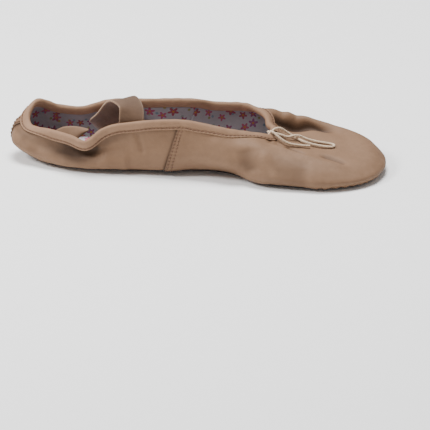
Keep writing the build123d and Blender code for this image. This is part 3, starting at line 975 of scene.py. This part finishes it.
def sole_sheet(name, inset, height, rise, rings=22):
    """A sheet inside the outline, dished so that its edge stands up by rise."""
    edge = sole_outline(inset)
    spine_x = np.clip(edge[:, 0], *SPINE)
    spine = np.stack([spine_x, 0 * spine_x], 1)
    points = []
    for ring_number in range(rings + 1):
        share = ring_number / rings
        flat = edge * (1 - share) + spine * share
        level = height + rise * (1 - share) ** 6
        points.append(np.column_stack([flat, np.full(len(flat), level)]))
    grid = np.array(points).transpose(1, 0, 2)
    grid = np.concatenate([grid, grid[:1]])
    grid[..., 2] += 0.25 * ripple(grid, 14.0, 4.0)
    columns, rows = grid.shape[:2]
    uvs = grid[..., :2].reshape(-1, 2) * MM + 2.0
    sheet = mesh_from(name, grid.reshape(-1, 3), grid_faces(columns, rows), uvs)
    weld = sheet.modifiers.new("weld", "WELD")
    weld.merge_threshold = 0.02 * MM
    return sheet


sock = sole_sheet("sock_lining_cotton", inset=-1.8, height=5.15, rise=0.9)
thicken(sock, LINING)
# the sock lining wears the lit copy of the same print
dress(sock, LIT_SOCK_PRINT_LOOK, "sock_lining")

pad = sole_sheet("foam_pad_soft", inset=5.8, height=4.5, rise=-0.5)
thicken(pad, FOAM_PAD)
dress(pad, FOAM_LOOK, "foam_pad")

dress_node("outsole", SUEDE_LOOK)
dress_node("insole_board", BOARD_LOOK)


# ---- sewing


def stitch_mesh(name, places):
    """Short threads that dip into the leather at both ends; each place is the middle, the
    direction of the row and the surface's normal."""
    steps = np.linspace(-1, 1, 7)
    sides = 6
    angles = 2 * pi * np.arange(sides) / sides
    points, faces = [], []
    for middle, along, normal in places:
        across = np.cross(along, normal)
        first = len(points)
        for t in steps:
            centre = middle + along * t * STITCH_LENGTH / 2
            centre = centre + normal * (THREAD_RADIUS * 0.9 - 0.42 * t**4)
            radius = THREAD_RADIUS * (1 - 0.25 * t**2)
            for angle in angles:
                spoke = across * cos(angle) + normal * sin(angle)
                points.append(centre + spoke * radius)
        for k in range(len(steps) - 1):
            for side in range(sides):
                n = (side + 1) % sides
                a, b = first + k * sides, first + (k + 1) * sides
                faces.append((a + side, a + n, b + n, b + side))
        faces.append(tuple(first + side for side in reversed(range(sides))))
        faces.append(tuple(first + (len(steps) - 1) * sides + side for side in range(sides)))
    return mesh_from(name, points, faces)


def row_places(line, normals, pitch=STITCH_PITCH):
    """Places for stitches at an even pitch along a line on a surface."""
    lengths = lengths_along(line)
    count = int(lengths[-1] // pitch)
    spots = (np.arange(count) + 0.5) * lengths[-1] / count
    middles = at_lengths(line, spots)
    tangents = unit(read_off(np.gradient(line, axis=0), lengths, spots))
    facing = unit(read_off(normals, lengths, spots))
    return list(zip(middles, tangents, facing))


def seam_line(station, columns_past, lift, low_row=10, top=-6):
    """A line up the wall beside a seam, and the surface's normals along it."""
    column = (column_of(station) + columns_past) % len(ring)
    line = outer[column, low_row:top] + outer_normals[column, low_row:top] * lift
    return line, outer_normals[column, low_row:top]


def seam_rows(name, station, offsets, lift, node):
    """Rows of stitches up the wall, each an offset of columns past a seam."""
    places = []
    for offset in offsets:
        line, normals = seam_line(station, offset, lift)
        places += row_places(line, normals)
    dress(stitch_mesh(name, places), THREAD_LOOK, node)


seam_rows("near_side_threads", NEAR_SEAM, NEEDLE_HOLE_COLUMNS, SIDE_LAP, "near_side_stitches")
seam_rows("far_side_threads", FAR_SEAM, (-2, -5), SIDE_LAP, "far_side_stitches")
seam_rows("back_seam_threads", BACK_SEAM, (-2, -6), BACK_LAP, "back_seam_stitches")

row_line = casing[:, CASING_STITCH_ROW]
row_normals = grid_normals(casing)[:, CASING_STITCH_ROW]
casing_places = row_places(row_line, row_normals)
dress(stitch_mesh("casing_threads", casing_places), THREAD_LOOK, "casing_stitches")

dress_node("sole_stitches", THREAD_LOOK)


# ---- heel grip


# Places along the slipper, each with the (y, z) of the flap's lower and upper edge
HEEL_GRIP = [
    (-89, (-15.5, 15), (-12.5, 23)),
    (-85, (-17.5, 13), (-12, 25)),
    (-79, (-18.5, 14), (-11.5, 25.8)),
    (-73, (-15.5, 20.5), (-11.8, 25.6)),
    (-68, (-13, 23.6), (-12.3, 24.8)),
]


def heel_grip():
    """The leather flap inside the near quarter, loose along its top edge."""
    spots = np.array([along for along, _, _ in HEEL_GRIP], float)
    lower = np.array([(along, *edge) for along, edge, _ in HEEL_GRIP], float)
    upper = np.array([(along, *edge) for along, _, edge in HEEL_GRIP], float)
    places = np.linspace(spots[0], spots[-1], 40)
    low, high = smooth(spots, lower, places), smooth(spots, upper, places)
    shares = np.linspace(0, 1, 16)[None, :, None]
    grid = low[:, None] * (1 - shares) + high[:, None] * shares
    grid[..., 1] -= 0.9 * np.sin(pi * shares[..., 0])
    # painted shade, darker towards the flap's lower edge deep inside the quarter
    painted_shade = 0.5 * (1 - shares[..., 0]) * np.ones((len(places), 1))
    piece = sheet_grid("heel_grip_flap", grid, {"painted_shade": painted_shade})
    thicken(piece, HEEL_GRIP_THICKNESS)
    dress(piece, LEATHER_LOOK, "heel_grip")


heel_grip()


# ---- elastic strap


STRAP_SOFTENING = 40
# The middle of the strap and the direction of its width, from the near end to the far one
STRAP = [
    ((-39.5, -19.5, 26), (1, 0, 0)),
    ((-39.5, -19.5, 36.5), (1, 0, 0)),
    ((-39.4, -17.9, 40.3), (0.93, 0.35, -0.02)),
    ((-41, -13.8, 43.8), (0.84, 0.54, 0.03)),
    ((-46.1, -9, 45.4), (0.84, 0.53, 0.1)),
    ((-52.2, -3.7, 37.8), (0.83, 0.43, -0.36)),
    ((-55.8, -0.9, 31), (0.87, 0.28, -0.39)),
    ((-59.8, 2.8, 24.9), (0.85, 0.23, -0.47)),
    ((-63.5, 5.5, 20.5), (0.82, 0.06, -0.54)),
    ((-65, 7.9, 17), (0.72, -0.22, -0.64)),
    ((-64.8, 10.9, 14), (0.64, -0.36, -0.68)),
    ((-62.9, 13.9, 12.9), (0.6, -0.38, -0.7)),
    ((-59.6, 16.9, 13.6), (0.6, -0.25, -0.76)),
    ((-55.5, 18.2, 16.5), (0.6, 0, -0.8)),
    ((-49.5, 18.2, 21), (0.6, 0, -0.8)),
    ((-41.5, 18.2, 27), (0.6, 0, -0.8)),
]


def strap_grid(across=22, along=180):
    """The middle surface of the strap."""
    middles = finely([middle for middle, _ in STRAP], along)
    knots = lengths_along(np.array([middle for middle, _ in STRAP], float))
    widths = smooth(knots, np.array([w for _, w in STRAP], float), np.linspace(0, knots[-1], along))
    tangents = unit(np.gradient(middles, axis=0))
    widths = unit(widths - tangents * np.sum(widths * tangents, axis=1, keepdims=True))
    shares = np.linspace(-0.5, 0.5, across)
    grid = middles[:, None] + widths[:, None] * (shares * STRAP_WIDTH)[None, :, None]
    facing = np.cross(widths, tangents)
    curl = 0.35 * (np.abs(shares) * 2) ** 4
    grid = grid - facing[:, None] * curl[None, :, None]
    return grid + facing[:, None] * (0.22 * ripple(grid, 8.0, 7.0))[..., None]


def strap_piece():
    """The strap as a band of woven elastic, with painted highlight along its two edges."""
    grid = softened(strap_grid(), STRAP_SOFTENING)
    across = np.abs(np.linspace(-1, 1, grid.shape[1]))
    # where the painted highlight lies along the two edges
    edge = smoothstep(0.88, 1.0, across)[None, :] * np.ones((len(grid), 1))
    piece = sheet_grid("elastic_strap_band", grid, {"edge": 0.8 * edge})
    thicken(piece, STRAP_THICKNESS, offset=0.0)
    dress(piece, ELASTIC_LOOK, "elastic_strap", "strap")


strap_piece()
dress_node("strap_near_stitches", THREAD_LOOK)
dress_node("strap_far_stitches", THREAD_LOOK)


# ---- drawstring


LOOP_ROUTE = [
    (51.0, -0.3, 28.3),
    (56.6, 3.2, 23.0),
    (62.5, 2.8, 19.6),
    (68, -0.6, 18.5),
    (76.5, -1.8, 17.1),
    (83.5, -1.8, 16.4),
    (86.6, -0.5, 16.2),
    (86.9, 2.4, 16.4),
    (83.8, 3.8, 16.6),
    (75.5, 3.8, 17.4),
    (68.5, 4.4, 18.8),
    (64.6, 3.2, 21.2),
    (61.0, 0.6, 22.2),
    (57.5, -2.6, 21.8),
    (52.5, -3.0, 24.2),
]
TAIL_ROUTE = [
    (48.1, -6.9, 27.7),
    (53.2, -9.4, 24.0),
    (58.4, -9.6, 20.6),
    (63, -7.8, 19.2),
    (67.8, -6.0, 18.2),
    (72, -4.8, 17.7),
]
KNOT_REACH = 2.0


def beside_knot(towards):
    """Where a cord that heads for the knot meets its surface."""
    return KNOT + unit(np.array(towards) - KNOT) * KNOT_REACH


def cord_curve(name, points):
    """A round cord on one smooth NURBS spline."""
    data = bpy.data.curves.new(name, "CURVE")
    data.dimensions = "3D"
    data.bevel_depth = DRAWSTRING / 2 * MM
    data.bevel_resolution = 4
    data.use_fill_caps = True
    data.resolution_u = 12
    spline = data.splines.new("NURBS")
    spline.points.add(len(points) - 1)
    for point, place in zip(spline.points, points):
        point.co = (*(np.array(place) * MM), 1.0)
    spline.order_u = 3
    spline.use_endpoint_u = True
    return scene_object(name, data)


loop_points = [beside_knot(LOOP_ROUTE[0]), *LOOP_ROUTE, beside_knot(LOOP_ROUTE[-1])]
tail_points = [beside_knot(TAIL_ROUTE[0]), *TAIL_ROUTE]


def free_cord(name, points, body, node):
    """A free end of the drawstring, laid along its route."""
    cord = cord_curve(name, points)
    dress(cord, CORD_LOOK, node, body)


free_cord("drawstring_loop_cord", loop_points, "loop", "drawstring_loop")
free_cord("drawstring_tail_cord", tail_points, "tail", "drawstring_tail")


def knot_piece():
    """A small overhand knot."""
    t = np.linspace(0, 2 * pi, 160)
    line = np.stack([np.sin(t) + 2 * np.sin(2 * t), np.cos(t) - 2 * np.cos(2 * t), -np.sin(3 * t)], 1)
    line = line * np.array([0.5, 0.5, 0.75]) + KNOT
    piece = tube("drawstring_knot_cord", line, 0.72, 12)
    dress(piece, CORD_LOOK, "drawstring_knot")


def held_cord():
    """The drawstring inside its casing, from the knot all the way round and back."""
    centre = collar_edge + collar_away * -0.85 + collar_up * 1.7
    centre = softened(centre, 4)
    line = np.concatenate([[KNOT + [0.6, 1.6, -0.3]], centre, [KNOT + [0.2, -1.7, -0.4]]])
    line = finely(line[::3], 700)
    piece = tube("drawstring_held_cord", line, DRAWSTRING / 2, 10)
    dress(piece, CORD_LOOK, "drawstring")


knot_piece()
held_cord()


# ---- floor, light and camera


def floor():
    """A plain, pale floor."""
    material = Shader("floor_pale", 0.9, specular=0.1)
    grain = material.noise(material.coordinates(), 90, 3)
    look = material.finish(material.mix(grain, (0.93, 0.93, 0.93, 1), (0.95, 0.95, 0.95, 1)))
    bpy.ops.mesh.primitive_plane_add(size=8, location=(0, 0, 0))
    plane = bpy.context.object
    plane.name = "floor"
    plane.data.materials.append(look)


def area_light(name, place, size, power):
    """A round soft light at a place in metres, aimed at the origin."""
    data = bpy.data.lights.new(name, "AREA")
    data.shape = "DISK"
    data.size = size
    data.energy = power
    lamp = scene_object(name, data)
    lamp.location = place
    lamp.rotation_mode = "QUATERNION"
    lamp.rotation_quaternion = (-Vector(place)).to_track_quat("-Z", "Y")


# The camera: its direction of sight, its distance in metres and its lens in mm, and how far
# right of the origin and below it, in metres, is the point that it looks at
SIGHT = (-0.1404, 1.0, -0.408)
DISTANCE = 2.6
LENS = 342.5860
AIM_RIGHT = 0.0108016
AIM_DOWN = 0.0327859


def camera():
    """A long lens from the near side, a little towards the toe, looking 22 degrees down."""
    sight = Vector(SIGHT).normalized()
    right = sight.cross(Vector((0, 0, 1))).normalized()
    up = right.cross(sight)
    axis = sight * DISTANCE + right * AIM_RIGHT - up * AIM_DOWN
    data = bpy.data.cameras.new("camera")
    data.sensor_width = 36
    data.lens = LENS
    data.clip_start = 0.1
    data.clip_end = 20
    cam = scene_object("camera", data)
    cam.location = -sight * DISTANCE
    cam.rotation_mode = "QUATERNION"
    cam.rotation_quaternion = axis.to_track_quat("-Z", "Y")
    bpy.context.scene.camera = cam


def world():
    """A dim white sky."""
    sky = bpy.data.worlds.new("studio")
    sky.use_nodes = True
    sky.node_tree.nodes["Background"].inputs[0].default_value = (1, 1, 1, 1)
    sky.node_tree.nodes["Background"].inputs[1].default_value = 0.4
    bpy.context.scene.world = sky


floor()
area_light("overhead", (-0.1, 0.25, 1.4), size=0.8, power=36)
area_light("heel_side", (-1.0, -0.5, 1.0), size=0.5, power=20)
camera()
world()
